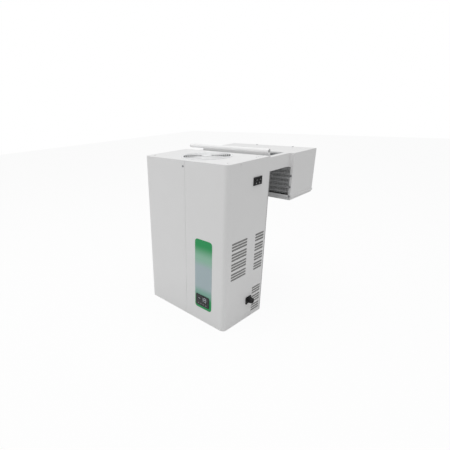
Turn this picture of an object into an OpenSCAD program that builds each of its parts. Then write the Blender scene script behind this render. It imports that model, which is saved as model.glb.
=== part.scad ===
// Saddle-type monoblock refrigeration unit, hung over the top of a cold room's wall panel.
// The origin is on the neck's underside, above the middle of the wall. +Y points into the cold room.

/* [Body] */
// Width of the condensing body
body_w = 430; // [420:5:470]
// Depth of the condensing body
body_d = 240; // [236:2:260]
// Height of the condensing body
body_h = 650; // [646:2:680]
// Outer radius of the two front corners
corner_r = 42; // [30:1:46]
// Thickness of the folded sheet steel
sheet_t = 1.5; // [1.2:0.1:1.8]
// Distance of the front seam from the middle
seam_x = 15; // [8:1:20]

/* [Saddle] */
// Height of the neck, from its underside to the body's top
neck_h = 56; // [48:2:60]
// Gap between body and evaporator that takes the wall panel
gap_d = 132; // [116:2:150]
// How far the evaporator's top lies under the body's top
evap_drop = 5; // [3:1:8]
// Width of the inward flange along the neck's top
neck_flange_w = 25; // [18:1:30]

/* [Evaporator] */
// Width of the evaporator box
evap_w = 416; // [408:2:424]
// Depth of the evaporator box
evap_d = 172; // [166:2:190]
// Height of the evaporator box without its drain pan
evap_h = 165; // [160:1:172]
// How far the evaporator box stands out past the body's right side
evap_proud = 18; // [14:1:22]
// Depth of the drain pan on the wall side, where it drains
pan_h = 20; // [18:1:26]
// Fall of the pan's floor over its depth
pan_fall = 5; // [3:1:7]

/* [Condenser fan] */
// Radius of the wire fan guard
guard_r = 99; // [92:1:102]
// Distance of the fan's axis from the front face
fan_y = 120; // [117:1:123]
// Distance of the fan's axis from the middle, to the right
fan_x = 15; // [10:1:20]
// Spacing of the guard's rings
ring_pitch = 7.5; // [6:0.5:10]
// Number of fan blades
blade_count = 5; // [3:1:7]

/* [Vents] */
// Length of the long vent slots, nearer the front
slot_long = 92; // [80:2:96]
// Length of the short vent slots, near the back
slot_short = 56; // [44:2:60]
// Height of one vent slot
slot_h = 8.4; // [7:0.2:9]
// Spacing of the slots in a row group
slot_pitch = 11.6; // [10:0.2:12]
// Spacing of the row groups
group_pitch = 41; // [38:1:44]

/* [Front panel] */
// Width of the coloured label plate
label_w = 86; // [78:1:90]
// Height of the coloured label plate
label_h = 300; // [280:5:310]
// Height of the label's lower edge above the base
label_z = 62; // [52:1:72]
// Width of the controller's face
control_w = 69; // [66:1:74]
// Height of the controller's face
control_h = 49; // [46:1:54]

/* [Hidden] */
$fn = 64;
over = 1;            // overrun of every cut
seat = 0.2;          // clearance of a fixed piece in its seat
play = 0.3;          // clearance round a moving piece
run_fit = 0.05;      // radial clearance of a shaft in its bore

// main planes
wall_y = -gap_d / 2;
front_y = wall_y - body_d;
room_y = gap_d / 2;
tail_y = room_y + evap_d;
top_z = neck_h;
base_z = top_z - body_h;
evap_top = top_z - evap_drop;
evap_base = evap_top - evap_h;
side_x = body_w / 2;
evap_x1 = side_x + evap_proud;
evap_x0 = evap_x1 - evap_w;
evap_mid = (evap_x0 + evap_x1) / 2;
in_x = side_x - sheet_t;
in_front = front_y + sheet_t;
in_wall = wall_y - sheet_t;
under_top = top_z - sheet_t;
under_evap = evap_top - sheet_t;
skin = sheet_t + seat;

// neck
neck_x0 = evap_x0 + evap_proud;
foam_t = 12;
foam_top = sheet_t + foam_t;
neck_lid_z = 35;
neck_lip_h = 10;
strip_x1 = side_x - 50;
hole_x = [side_x - 43, side_x - 7];
hole_y = [wall_y + 2, wall_y + 30];
bar_r = 8;
bar_bore_r = 6;
bar_y = wall_y + bar_r + seat;
bar_x0 = -side_x + 21;
bar_x1 = side_x - 12;
bar_lift = 8;
bar_z = top_z + bar_lift + bar_r;
upstand_x0 = neck_x0 + 45;

// base tray, shelf and back
tray_lip_h = 14;
lid_lip_h = 14;
back_flange_w = 6;
shelf_z = -96;
shelf_lip_h = 12;
window_margin = 22;
lap_w = 22;
seam_gap = 0.8;

// fan, shroud and guard
fan_cy = front_y + fan_y;
ring_t = 2.4;
ring_h = 3;
guard_hub_r = 20;
spoke_w = 3;
spoke_count = 6;
guard_rim = 6;
ring_wall_r = guard_r - 5;
shroud_z = 14;
blade_gap = 4;
blade_h = 26;
blade_t = 1.8;
blade_twist = 34;
hub_r = 34;
hub_h = 24;
hub_wall = 2.5;
shaft_r = 4;
motor_r = 31;
motor_h = 34;
motor_rings = 4;
motor_ring_h = 4;
motor_groove = 3;
rotor_z = 22;
arm_w = 12;
arm_t = 3;
arm_reach = 6;

// pipes: they run in the service space left of the coils
suction_r = 6.3;
liquid_r = 3.2;
discharge_r = 4;
pipe_air = 3.5;
suction_bend = 18;
room_bend = 12;
pipe_bend = 10;
hole_play = 1.5;
suction_x = neck_x0 + sheet_t + suction_r + pipe_air;
liquid_x = suction_x + suction_r + liquid_r + pipe_air;
discharge_x = liquid_x - liquid_r - discharge_r - pipe_air;
suction_z = foam_top + suction_r + seat;
liquid_z = foam_top + liquid_r + seat;
suction_y = wall_y - 44;
liquid_y = wall_y - 20;
discharge_y = wall_y - 118;
suction_end_y = room_y + 50;
liquid_end_y = room_y + 16;

// condenser coil, in line with the fan
coil_x0 = liquid_x + pipe_bend;
coil_x1 = 2 * fan_x - coil_x0;
coil_y0 = front_y + 16;
coil_y1 = wall_y - 16;
coil_z0 = shelf_z + sheet_t;
coil_z1 = -32;
fin_pitch = 14;
fin_t = 1.2;
plate_t = 2;
tube_r = 4.8;
core_inset = 3;
bend_count = 4;
coil_rows = 3;
discharge_in_z = coil_z1 - 18;
outlet_z = coil_z0 + 14;

// filter drier, upright under the coil's outlet
drier_r = 13;
drier_h = 90;
drier_neck_r = 4.7;
drier_y = coil_y0 + 30;
drier_top = shelf_z - 60;
liquid_low_z = drier_top - drier_h - 36;

// compressor
comp_r = 72;
comp_x = suction_x + 40;
comp_y = in_wall - comp_r - 9;
comp_floor = base_z + sheet_t;
comp_foot_h = 16;
comp_h = 170;
comp_shell_r = comp_r - 5;
comp_seam_z = 95;
comp_seam_h = 7;
comp_dome_h = 34;
foot_w = 24;
foot_t = 3;
foot_span_x = 150;
foot_span_y = 100;
grommet_r = 9;
bolt_r = 4;
foot_hole_r = 4.4;
bolt_head_r = 6.5;
bolt_head_h = 4;
stub_h = 16;
stub_play = 2;
term_w = 46;
term_h = 60;
term_d = 26;
term_z = comp_floor + 31;

// vents, on both covers
vent_top = -229;
vent_low_top = base_z + 132;
vent_y1 = front_y + 35;
vent_y2 = front_y + 177;
slots_in_group = 3;
high_groups = 4;
low_groups = 3;
dash_l = 9;
dash_w = 3;
dash_pitch = 13;
dash_count = 4;
dash_y = front_y + 186;
dash_x = side_x - 27;

// label and controller
label_t = 0.8;
label_r = 13;
label_x0 = 66;
label_z0 = base_z + label_z;
label_z1 = label_z0 + label_h;
control_x0 = label_x0 + 6;
control_x1 = control_x0 + control_w;
control_z0 = label_z0 + 12;
control_z1 = control_z0 + control_h;
bezel_t = 3.2;
bezel_r = 3;
case_d = 46;
case_inset = 3;
face_t = 2;
display_w = 52;
display_h = 21;
display_t = 1.2;
display_dx = 8;
display_dz = 22;
key_w = 9;
key_h = 6;
key_flange = 1;
key_flange_t = 1;
key_proud = 0.7;
key_travel = 0.8;
key_pitch = 13.5;
key_z = control_z0 + 10;

// box for the wiring behind the controller
box_x0 = control_x0 - 14;
box_x1 = control_x1 + 27;
box_z0 = control_z0 - 24;
box_z1 = control_z1 + 117;
box_d = 62;
box_t = 2;
box_lid_lip = 6;

// twin rocker switch
switch_w = 48;
switch_h = 29;
switch_y0 = front_y + 143;
switch_z0 = -36;
switch_rim = 3.5;
switch_inset = 2;
switch_depth = 24;
rocker_w = 16.5;
rocker_r = 12;
rocker_face = 7.2;
rocker_tilt = 12;
rocker_pin_r = 1.2;
rocker_pin_l = 1;
rocker_bridge = 2.4;
rocker_x = side_x - 4;

// cable gland
gland_y = front_y + 157;
gland_z = base_z + 85;
gland_plate_t = 3;
gland_plate_y = [gland_y - 20, gland_y + 14];
gland_plate_h = 30;
gland_rib_w = 5;
gland_rib_h = 3;
gland_hex_r = 14;
gland_hex_h = 6;
gland_dome_r = 11.5;
gland_dome_h = 13;
gland_nose_r = 4;
gland_bore_r = 4.5;
gland_stem_r = 8;
gland_stem_l = 10;
gland_nut_h = 5;

// screws
screw_r = 1.9;
screw_hole_r = 2.1;
screw_head_r = 4;
screw_head_h = 1.6;
screw_l = 7;
front_screw_x = seam_x - 9;
front_screw_z = under_top - 20;
side_screw_y = front_y + 68;
side_screw_z = under_top - screw_head_r;
lid_screw_x = side_x - 28;
lid_screw_y = front_y + 31;

// evaporator
ev_post = 9.5;
ev_band = 3;
ev_coil_x0 = evap_x0 + 70;
ev_coil_x1 = evap_x1 - 13;
ev_coil_y0 = room_y + sheet_t + 2;
ev_coil_y1 = ev_coil_y0 + 62;
ev_coil_z0 = evap_base + 4;
ev_fin_pitch = 12;
ev_rows = 9;
ev_bends = 3;
ev_bend_gap = 24;
ev_bend_z = ev_coil_z0 + 22;
pan_step = 1.2;
pan_band_h = 9;
pan_wall_z = evap_base - pan_h;
pan_room_z = pan_wall_z + pan_fall;
spigot_r = 8;
spigot_bore_r = 6;
spigot_l = 24;
spigot_collar_r = 12;  // level shoulder that the drain hose stops at
spigot_collar_h = 1;
spigot_x = evap_mid - 40;
spigot_y = room_y + 26;
ev_fan_r = 58;
ev_frame_half = 64;
ev_frame_d = 36;
ev_frame_hole_r = 2.2;
ev_frame_hole = 56;
ev_hub_r = 22;
ev_hub_h = 20;
ev_hub_wall = 2;
ev_base_h = 6;
ev_rotor_z = 8;
ev_shaft_r = 2.5;
ev_strut_w = 6;
ev_blade_gap = 2.5;
ev_blade_h = 18;
ev_fan_y = tail_y - sheet_t - ev_frame_d;
ev_fan_z = (evap_top + evap_base) / 2;
ev_fan_x = [evap_x0 + 0.27 * evap_w, evap_x0 + 0.73 * evap_w];
ev_guard_r = 62;
ev_guard_hub = 12;
ev_guard_t = 2;
ev_ring_pitch = 9;
heater_r = 3.2;
heater_y = [ev_coil_y0 + 16, ev_coil_y0 + 46];
heater_z = ev_coil_z0 - heater_r - seat;
heater_x0 = ev_coil_x0 - 6;
heater_x1 = ev_coil_x1 - 40;
heater_cap_r = 4.6;
heater_cap_l = 18;
ev_screw_x = [evap_x0 + 0.33 * evap_w, evap_x0 + 0.76 * evap_w];
ev_screw_y = tail_y - 10;
flange_screw_x = evap_w / 2 - 4.5;
flange_screw_z = [-37, -81];
pan_screw_z = evap_base - 4.5;
wall_seal_t = 4;
wall_seal_w = 16;
seal_joggle = 0.4;     // step up in the neck's underside over the seal

// a box from three pairs of limits
module block(x, y, z)
    translate([x[0], y[0], z[0]]) cube([x[1] - x[0], y[1] - y[0], z[1] - z[0]]);

// cylinders along X, Y and Z from one end to the other
module rod_x(x, y, z, r)
    translate([x[0], y, z]) rotate([0, 90, 0]) cylinder(r = r, h = x[1] - x[0]);
module rod_y(x, y, z, r)
    translate([x, y[0], z]) rotate([-90, 0, 0]) cylinder(r = r, h = y[1] - y[0]);
module rod_z(x, y, z, r)
    translate([x, y, z[0]]) cylinder(r = r, h = z[1] - z[0]);

// the body's plan, drawn in by inset at the front and sides and by rear at the wall
module plan(inset, rear) {
    translate([-side_x + inset, front_y + corner_r])
        square([body_w - 2 * inset, body_d - corner_r - rear]);
    translate([-side_x + corner_r, front_y + inset])
        square([body_w - 2 * corner_r, corner_r]);
    for (side = [-1, 1])
        translate([side * (side_x - corner_r), front_y + corner_r])
            circle(r = corner_r - inset);
}

module plan_plate(inset, rear, z)
    translate([0, 0, z[0]]) linear_extrude(z[1] - z[0]) plan(inset, rear);

// a ring of sheet that follows the plan
module plan_wall(inset, rear, z)
    translate([0, 0, z[0]])
        linear_extrude(z[1] - z[0])
            difference() {
                plan(inset, rear);
                plan(inset + sheet_t, rear + sheet_t);
            }

// both covers in one, open to the wall
module cover_shell()
    translate([0, 0, base_z])
        linear_extrude(under_top - base_z)
            difference() {
                plan(0, 0);
                plan(sheet_t, -over);
            }

// one vent slot with round ends, cut along X
module slot(y0, length, z) {
    half = slot_h / 2;
    block([-over, sheet_t + over], [y0 + half, y0 + length - half], [z - half, z + half]);
    for (y = [y0 + half, y0 + length - half])
        rod_x([-over, sheet_t + over], y, z, half);
}

// groups of slots, from the top group down
module vent_block(y0, length, top, groups)
    for (g = [0 : groups - 1])
        for (s = [0 : slots_in_group - 1])
            slot(y0, length, top - g * group_pitch - s * slot_pitch - slot_h / 2);

module side_vents() {
    vent_block(vent_y1, slot_long, vent_top, high_groups);
    vent_block(vent_y2, slot_short, vent_top, high_groups);
    vent_block(vent_y2, slot_short, vent_low_top, low_groups);
}

// a slab with round corners, seen along Y
module round_plate(x, y, z, r) {
    block([x[0] + r, x[1] - r], y, z);
    block(x, y, [z[0] + r, z[1] - r]);
    for (cx = [x[0] + r, x[1] - r])
        for (cz = [z[0] + r, z[1] - r])
            rod_y(cx, y, cz, r);
}

// a quarter bend round p: one leg level, turned by spin from +X, the other up, or down if flipped
module elbow(p, spin, flip, r, bend)
    translate(p)
        rotate([flip, 0, spin])
            rotate([90, 0, 0])
                rotate_extrude(angle = 90)
                    translate([bend, 0]) circle(r = r);

// a quarter bend that lies level round p, from the leg at -X to the leg at +Y
module flat_elbow(p, r, bend)
    translate(p)
        rotate([0, 0, 90])
            rotate_extrude(angle = 90)
                translate([bend, 0]) circle(r = r);

// a return bend on an end plate, bulging to +Z with its ends apart along X
module return_bend(gap, r)
    rotate([90, 0, 0])
        rotate_extrude(angle = 180)
            translate([gap / 2, 0]) circle(r = r);

// finned block: fins across X on rows of bars, between two end plates
module finned_block(x, y, z, pitch, rows) {
    count = floor((x[1] - x[0] - 2 * plate_t) / pitch);
    step = (z[1] - z[0]) / rows;
    for (i = [0 : rows - 1])
        block([x[0] + plate_t, x[1] - plate_t], [y[0] + core_inset, y[1] - core_inset],
            [z[0] + (i + 0.25) * step, z[0] + (i + 0.75) * step]);
    for (i = [0 : count - 1])
        block([x[0] + plate_t + (i + 0.5) * pitch, x[0] + plate_t + (i + 0.5) * pitch + fin_t],
            y, z);
    for (px = [x[0], x[1] - plate_t])
        block([px, px + plate_t], y, z);
}

// concentric rings on spokes round a hub disc
module ring_grille(outer_r, hub, pitch, t, h, spokes, spoke) {
    count = floor((outer_r - hub) / pitch);
    for (i = [0 : count - 1])
        difference() {
            cylinder(r = outer_r - i * pitch, h = h);
            translate([0, 0, -over]) cylinder(r = outer_r - i * pitch - t, h = h + 2 * over);
        }
    cylinder(r = hub, h = h);
    for (i = [0 : spokes - 1])
        rotate([0, 0, i * 360 / spokes])
            translate([hub - t, -spoke / 2, 0]) cube([outer_r - hub + t / 2, spoke, h * 0.6]);
}

// helical blades on a cup-shaped hub; the shaft's bore is blind
module rotor(tip_r, hub, height, wall, blades, blade_height, twist, bore_r) {
    difference() {
        cylinder(r = hub, h = height);
        translate([0, 0, -over]) cylinder(r = hub - wall, h = height - wall + over);
    }
    difference() {
        cylinder(r = bore_r + wall, h = height);
        translate([0, 0, -over]) cylinder(r = bore_r, h = height - wall + over);
    }
    for (i = [0 : blades - 1])
        rotate([0, 0, i * 360 / blades])
            linear_extrude(blade_height, twist = twist, slices = 8, $fn = 16)
                translate([hub - wall / 2, -blade_t / 2])
                    square([tip_r - hub + wall / 2, blade_t]);
}

module screw(l) {
    rotate_extrude()
        polygon([[0, 0], [screw_head_r, 0], [screw_head_r * 0.8, screw_head_h],
            [0, screw_head_h]]);
    rod_z(0, 0, [screw_head_h - l, 0], screw_r);
}

module base_tray() color("gainsboro") {
    plan_plate(skin, sheet_t, [base_z, comp_floor]);
    plan_wall(skin, sheet_t, [base_z, base_z + tray_lip_h]);
}

module left_cover() color("whitesmoke") difference() {
    intersection() {
        cover_shell();
        block([-side_x - over, seam_x - seam_gap], [front_y - over, wall_y],
            [base_z - over, top_z]);
    }
    translate([-side_x, 0, 0]) side_vents();
    rod_y(front_screw_x, [front_y - over, in_front + over], front_screw_z, screw_hole_r);
    rod_x([-side_x - over, -in_x + over], side_screw_y, side_screw_z, screw_hole_r);
}

// the right cover reaches over the wall as the neck's right side
module right_cover() color("whitesmoke") difference() {
    union() {
        intersection() {
            cover_shell();
            block([seam_x, side_x + over], [front_y - over, wall_y], [base_z - over, top_z]);
        }
        block([in_x, side_x], [in_wall, room_y], [0, evap_top]);
        block([side_x - neck_flange_w, side_x], [wall_y + seat, room_y], [under_evap, evap_top]);
        front_lap();
    }
    translate([in_x, 0, 0]) side_vents();
    block([control_x0 + case_inset - seat, control_x1 - case_inset + seat],
        [front_y - over, in_front + over],
        [control_z0 + case_inset - seat, control_z1 - case_inset + seat]);
    block([in_x - over, side_x + over],
        [switch_y0 + switch_inset - seat, switch_y0 + switch_w - switch_inset + seat],
        [switch_z0 + switch_inset - seat, switch_z0 + switch_h - switch_inset + seat]);
    rod_x([in_x - over, side_x + over], gland_y, gland_z, gland_stem_r + seat);
    rod_x([in_x - over, side_x + over], side_screw_y, side_screw_z, screw_hole_r);
    rod_y(front_screw_x, [front_y, in_front + 2 * skin], front_screw_z, screw_hole_r);
}

// the lap behind the left cover, which the front screw holds
module front_lap() {
    z = [base_z + tray_lip_h + seat, under_top - lid_lip_h - seat];
    block([seam_x - lap_w, seam_x + sheet_t], [in_front + seat, in_front + skin], z);
    block([seam_x, seam_x + sheet_t], [in_front - sheet_t / 2, in_front + skin], z);
}

module top_panel() color("white") difference() {
    union() {
        plan_plate(0, 0, [under_top, top_z]);
        plan_wall(skin, skin, [under_top - lid_lip_h, under_top]);
    }
    rod_z(fan_x, fan_cy, [under_top - over, top_z + over], guard_r - guard_rim);
    for (i = [0 : dash_count - 1])
        block([dash_x, dash_x + dash_w],
            [dash_y + i * dash_pitch, dash_y + i * dash_pitch + dash_l],
            [under_top - over, top_z + over]);
    for (side = [-1, 1]) {
        rod_z(side * lid_screw_x, lid_screw_y, [under_top - over, top_z + over], screw_hole_r);
        rod_x([side * in_x - screw_l, side * in_x + screw_l], side_screw_y, side_screw_z,
            screw_hole_r);
    }
    rod_y(front_screw_x, [front_y, in_front + 2 * skin], front_screw_z, screw_hole_r);
}

module back_panel() color("silver") {
    difference() {
        block([-in_x, in_x], [in_wall, wall_y], [base_z, under_top]);
        pipe_holes([in_wall - over, wall_y + over]);
    }
    for (x = [-in_x, in_x - sheet_t])
        block([x, x + sheet_t], [in_wall - back_flange_w, in_wall],
            [base_z + tray_lip_h + seat, under_top - lid_lip_h - seat]);
}

// holes for the two pipes through a wall across Y
module pipe_holes(y) {
    rod_y(suction_x, y, suction_z, suction_r + hole_play);
    rod_y(liquid_x, y, liquid_z, liquid_r + hole_play);
}

module mid_shelf() color("silver") difference() {
    z = [shelf_z - over, shelf_z + sheet_t + over];
    union() {
        plan_plate(skin, sheet_t, [shelf_z, coil_z0]);
        block([-in_x + 2 * sheet_t, in_x - 2 * sheet_t], [in_wall - sheet_t, in_wall],
            [shelf_z - shelf_lip_h, shelf_z]);
    }
    block([coil_x0 + window_margin, coil_x1 - window_margin],
        [coil_y0 + window_margin, coil_y1 - window_margin], z);
    block([seam_x - lap_w - seat, seam_x + skin], [front_y, in_front + skin + seat], z);
    for (x = [-in_x, in_x])
        block([x - skin, x + skin], [in_wall - back_flange_w - seat, wall_y], z);
    rod_z(suction_x, suction_y, z, suction_r + hole_play);
    rod_z(liquid_x, liquid_y, z, liquid_r + hole_play);
    rod_z(discharge_x, discharge_y, z, discharge_r + hole_play);
    rod_z(liquid_x, drier_y, z, liquid_r + hole_play);
}

// soft strip that seals against the wall, under the neck and down both sides
module wall_seal() color("dimgray") {
    y = [wall_y, wall_y + wall_seal_t];
    block([-side_x, side_x], y, [-wall_seal_w, -seat]);
    for (x = [-side_x, side_x - wall_seal_w])
        block([x, x + wall_seal_w], y, [base_z, -seat]);
}

module fan_guard() color("lightgray") translate([fan_x, fan_cy, top_z]) {
    ring_grille(guard_r, guard_hub_r, ring_pitch, ring_t, ring_h, spoke_count, spoke_w);
    difference() {
        cylinder(r = guard_r, h = ring_h / 2);
        translate([0, 0, -over]) cylinder(r = guard_r - guard_rim - ring_t, h = ring_h);
    }
}

// carrying bar behind the body's top edge, open at both ends
module lifting_bar() color("gainsboro") difference() {
    rod_x([bar_x0, bar_x1], bar_y, bar_z, bar_r);
    rod_x([bar_x0 - over, bar_x1 + over], bar_y, bar_z, bar_bore_r);
}

module fan_shroud() color("silver") difference() {
    union() {
        block([coil_x0, coil_x1], [coil_y0, coil_y1], [shroud_z, shroud_z + sheet_t]);
        difference() {
            block([coil_x0, coil_x1], [coil_y0, coil_y1], [coil_z1, shroud_z + sheet_t]);
            block([coil_x0 + sheet_t, coil_x1 - sheet_t], [coil_y0 + sheet_t, coil_y1 - sheet_t],
                [coil_z1 - over, shroud_z + over]);
        }
        rod_z(fan_x, fan_cy, [shroud_z, under_top], ring_wall_r);
    }
    rod_z(fan_x, fan_cy, [shroud_z - over, under_top + over], ring_wall_r - sheet_t);
}

module condenser_coil() color("silver") {
    depth = coil_z1 - coil_z0;
    lane = (coil_y1 - coil_y0) / bend_count;
    translate([0, coil_y0, coil_z1])
        rotate([-90, 0, 0])
            finned_block([coil_x0, coil_x1], [0, depth], [0, coil_y1 - coil_y0], fin_pitch,
                coil_rows * bend_count);
    for (i = [0 : bend_count - 1])
        translate([coil_x1, coil_y0 + (i + 0.5) * lane, coil_z0 + depth / 2])
            rotate([0, 90, 0])
                rotate([0, 0, 90])
                    return_bend(lane / 2, tube_r);
}

module condenser_fan_motor() color("dimgray") {
    rod_z(fan_x, fan_cy, [shroud_z - motor_h, shroud_z], motor_r - motor_groove);
    for (i = [0 : motor_rings - 1])
        let (z = shroud_z - motor_ring_h - i * (motor_h - motor_ring_h) / (motor_rings - 1))
            rod_z(fan_x, fan_cy, [z, z + motor_ring_h], motor_r);
    rod_z(fan_x, fan_cy, [shroud_z, rotor_z + hub_h - hub_wall - seat], shaft_r);
    for (i = [0 : 2])
        translate([fan_x, fan_cy, shroud_z - arm_t])
            rotate([0, 0, 30 + i * 120])
                translate([motor_r - arm_t, -arm_w / 2, 0])
                    cube([ring_wall_r - motor_r + arm_t + arm_reach, arm_w, arm_t]);
}

module condenser_fan_blades() color("darkgray") translate([fan_x, fan_cy, rotor_z])
    rotor(ring_wall_r - sheet_t - blade_gap, hub_r, hub_h, hub_wall, blade_count, blade_h,
        blade_twist, shaft_r + run_fit);

module foot_places()
    for (fx = [-1, 1])
        for (fy = [-1, 1])
            translate([fx * foot_span_x / 2, fy * foot_span_y / 2, 0]) children();

module compressor() color("black") translate([comp_x, comp_y, comp_floor]) {
    difference() {
        union() {
            rotate_extrude()
                polygon(concat(
                    [[0, comp_foot_h - foot_t], [comp_shell_r, comp_foot_h - foot_t],
                        [comp_shell_r, comp_seam_z], [comp_r, comp_seam_z],
                        [comp_r, comp_seam_z + comp_seam_h],
                        [comp_shell_r, comp_seam_z + comp_seam_h]],
                    [for (a = [0 : 10 : 90])
                        [comp_shell_r * cos(a), comp_h - comp_dome_h * (1 - sin(a))]]));
            for (side = [-1, 1])
                block([-foot_span_x / 2 - foot_w / 2, foot_span_x / 2 + foot_w / 2],
                    [(side * foot_span_y - foot_w) / 2, (side * foot_span_y + foot_w) / 2],
                    [comp_foot_h - foot_t, comp_foot_h]);
        }
        foot_places() rod_z(0, 0, [0, comp_foot_h + over], foot_hole_r);
    }
    translate([suction_x - comp_x, suction_y - comp_y, 0])
        rod_z(0, 0, [comp_h - comp_dome_h, comp_h + stub_h], suction_r + stub_play);
    translate([discharge_x - comp_x, discharge_y - comp_y, 0])
        rod_z(0, 0, [comp_h - comp_dome_h, comp_h + stub_h], discharge_r + stub_play);
}

module compressor_grommets() color("darkslategray")
    translate([comp_x, comp_y, comp_floor])
        foot_places()
            difference() {
                rod_z(0, 0, [0, comp_foot_h - foot_t], grommet_r);
                rod_z(0, 0, [-over, comp_foot_h], bolt_r + seat);
            }

module compressor_bolts() color("silver")
    translate([comp_x, comp_y, comp_floor])
        foot_places() {
            rod_z(0, 0, [0, comp_foot_h], bolt_r);
            translate([0, 0, comp_foot_h]) cylinder(r = bolt_head_r, h = bolt_head_h, $fn = 6);
        }

module terminal_cover() color("dimgray") difference() {
    block([comp_x + comp_shell_r - term_d / 2, comp_x + comp_shell_r + term_d],
        [comp_y - term_w / 2, comp_y + term_w / 2], [term_z, term_z + term_h]);
    rod_z(comp_x, comp_y, [term_z - over, term_z + term_h + over], comp_shell_r + seat);
}

// pipes that rise and turn over to the right, into the condenser coil's end plate
module discharge_pipe() color("peru") {
    top = discharge_in_z;
    rod_z(discharge_x, discharge_y, [comp_floor + comp_h + stub_h, top - pipe_bend], discharge_r);
    elbow([discharge_x + pipe_bend, discharge_y, top - pipe_bend], 180, 0, discharge_r,
        pipe_bend);
    rod_x([discharge_x + pipe_bend, coil_x0], discharge_y, top, discharge_r);
}

module condenser_outlet_pipe() color("peru") {
    rod_z(liquid_x, drier_y, [drier_top, outlet_z - pipe_bend], liquid_r);
    elbow([coil_x0, drier_y, outlet_z - pipe_bend], 180, 0, liquid_r, pipe_bend);
}

module filter_drier() color("goldenrod") translate([liquid_x, drier_y, drier_top - drier_h])
    rotate_extrude()
        polygon([[0, 0], [drier_neck_r, 0], [drier_r, drier_r], [drier_r, drier_h - drier_r],
            [drier_neck_r, drier_h], [0, drier_h]]);

// from the drier's foot back to the wall, up, over the wall and into the evaporator
module liquid_pipe() color("peru") {
    low = liquid_low_z + pipe_bend;
    high = liquid_z - pipe_bend;
    rod_z(liquid_x, drier_y, [low, drier_top - drier_h], liquid_r);
    elbow([liquid_x, drier_y + pipe_bend, low], -90, 180, liquid_r, pipe_bend);
    rod_y(liquid_x, [drier_y + pipe_bend, liquid_y - pipe_bend], liquid_low_z, liquid_r);
    elbow([liquid_x, liquid_y - pipe_bend, low], 90, 180, liquid_r, pipe_bend);
    rod_z(liquid_x, liquid_y, [low, high], liquid_r);
    elbow([liquid_x, liquid_y + pipe_bend, high], -90, 0, liquid_r, pipe_bend);
    rod_y(liquid_x, [liquid_y + pipe_bend, liquid_end_y - pipe_bend], liquid_z, liquid_r);
    flat_elbow([liquid_x + pipe_bend, liquid_end_y - pipe_bend, liquid_z], liquid_r, pipe_bend);
    rod_x([liquid_x + pipe_bend, ev_coil_x0], liquid_end_y, liquid_z, liquid_r);
}

module suction_pipe() color("peru") {
    high = suction_z - suction_bend;
    rod_z(suction_x, suction_y, [comp_floor + comp_h + stub_h, high], suction_r);
    elbow([suction_x, suction_y + suction_bend, high], -90, 0, suction_r, suction_bend);
    rod_y(suction_x, [suction_y + suction_bend, suction_end_y - room_bend], suction_z,
        suction_r);
    flat_elbow([suction_x + room_bend, suction_end_y - room_bend, suction_z], suction_r,
        room_bend);
    rod_x([suction_x + room_bend, ev_coil_x0], suction_end_y, suction_z, suction_r);
}

module electrical_box() color("lightgray") difference() {
    block([box_x0, box_x1], [in_front, in_front + box_d], [box_z0, box_z1]);
    block([box_x0 + box_t, box_x1 - box_t], [front_y, in_front + box_d + over],
        [box_z0 + box_t, box_z1 - box_t]);
}

module electrical_box_lid() color("silver") {
    y = in_front + box_d;
    in = box_t + seat;
    block([box_x0, box_x1], [y, y + box_t], [box_z0, box_z1]);
    difference() {
        block([box_x0 + in, box_x1 - in], [y - box_lid_lip, y], [box_z0 + in, box_z1 - in]);
        block([box_x0 + in + box_t, box_x1 - in - box_t], [y - box_lid_lip - over, y],
            [box_z0 + in + box_t, box_z1 - in - box_t]);
    }
}

// thin plate that frames the controller's window
module label_plate() color("seagreen") difference() {
    y = [front_y - label_t, front_y];
    round_plate([label_x0, label_x0 + label_w], y, [label_z0, label_z1], label_r);
    round_plate([control_x0 - seat, control_x1 + seat], [y[0] - over, y[1] + over],
        [control_z0 - seat, control_z1 + seat], bezel_r);
}

module controller_case() color("black") {
    face = front_y - bezel_t;
    pocket = key_flange_t + key_travel + seat + play;
    difference() {
        union() {
            round_plate([control_x0, control_x1], [face, front_y], [control_z0, control_z1],
                bezel_r);
            block([control_x0 + case_inset, control_x1 - case_inset],
                [front_y, front_y + case_d],
                [control_z0 + case_inset, control_z1 - case_inset]);
        }
        display_block(seat, face - over, face + display_t);
        for (i = [0 : 3]) {
            key_block(i, play, face - over, face + face_t + over);
            key_block(i, key_flange + play, face + face_t, face + face_t + pocket);
        }
    }
}

module display_block(grow, y0, y1)
    block([control_x0 + display_dx - grow, control_x0 + display_dx + display_w + grow],
        [y0, y1],
        [control_z0 + display_dz - grow, control_z0 + display_dz + display_h + grow]);

module controller_display() color("darkslategray")
    display_block(0, front_y - bezel_t, front_y - bezel_t + display_t);

module key_block(i, grow, y0, y1) {
    x = (control_x0 + control_x1) / 2 + (i - 1.5) * key_pitch;
    block([x - key_w / 2 - grow, x + key_w / 2 + grow], [y0, y1],
        [key_z - key_h / 2 - grow, key_z + key_h / 2 + grow]);
}

module key(i) color("gray") {
    face = front_y - bezel_t;
    key_block(i, 0, face - key_proud, face + face_t + key_flange_t);
    key_block(i, key_flange, face + face_t + seat, face + face_t + key_flange_t + seat);
}
module key_1() key(0);
module key_2() key(1);
module key_3() key(2);
module key_4() key(3);

// the two rockers' places along Y
function rocker_y(i) = switch_y0 + switch_w / 2 + (i == 0 ? -1 : 1) * (rocker_w / 2 + play
    + rocker_bridge / 2);

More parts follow.
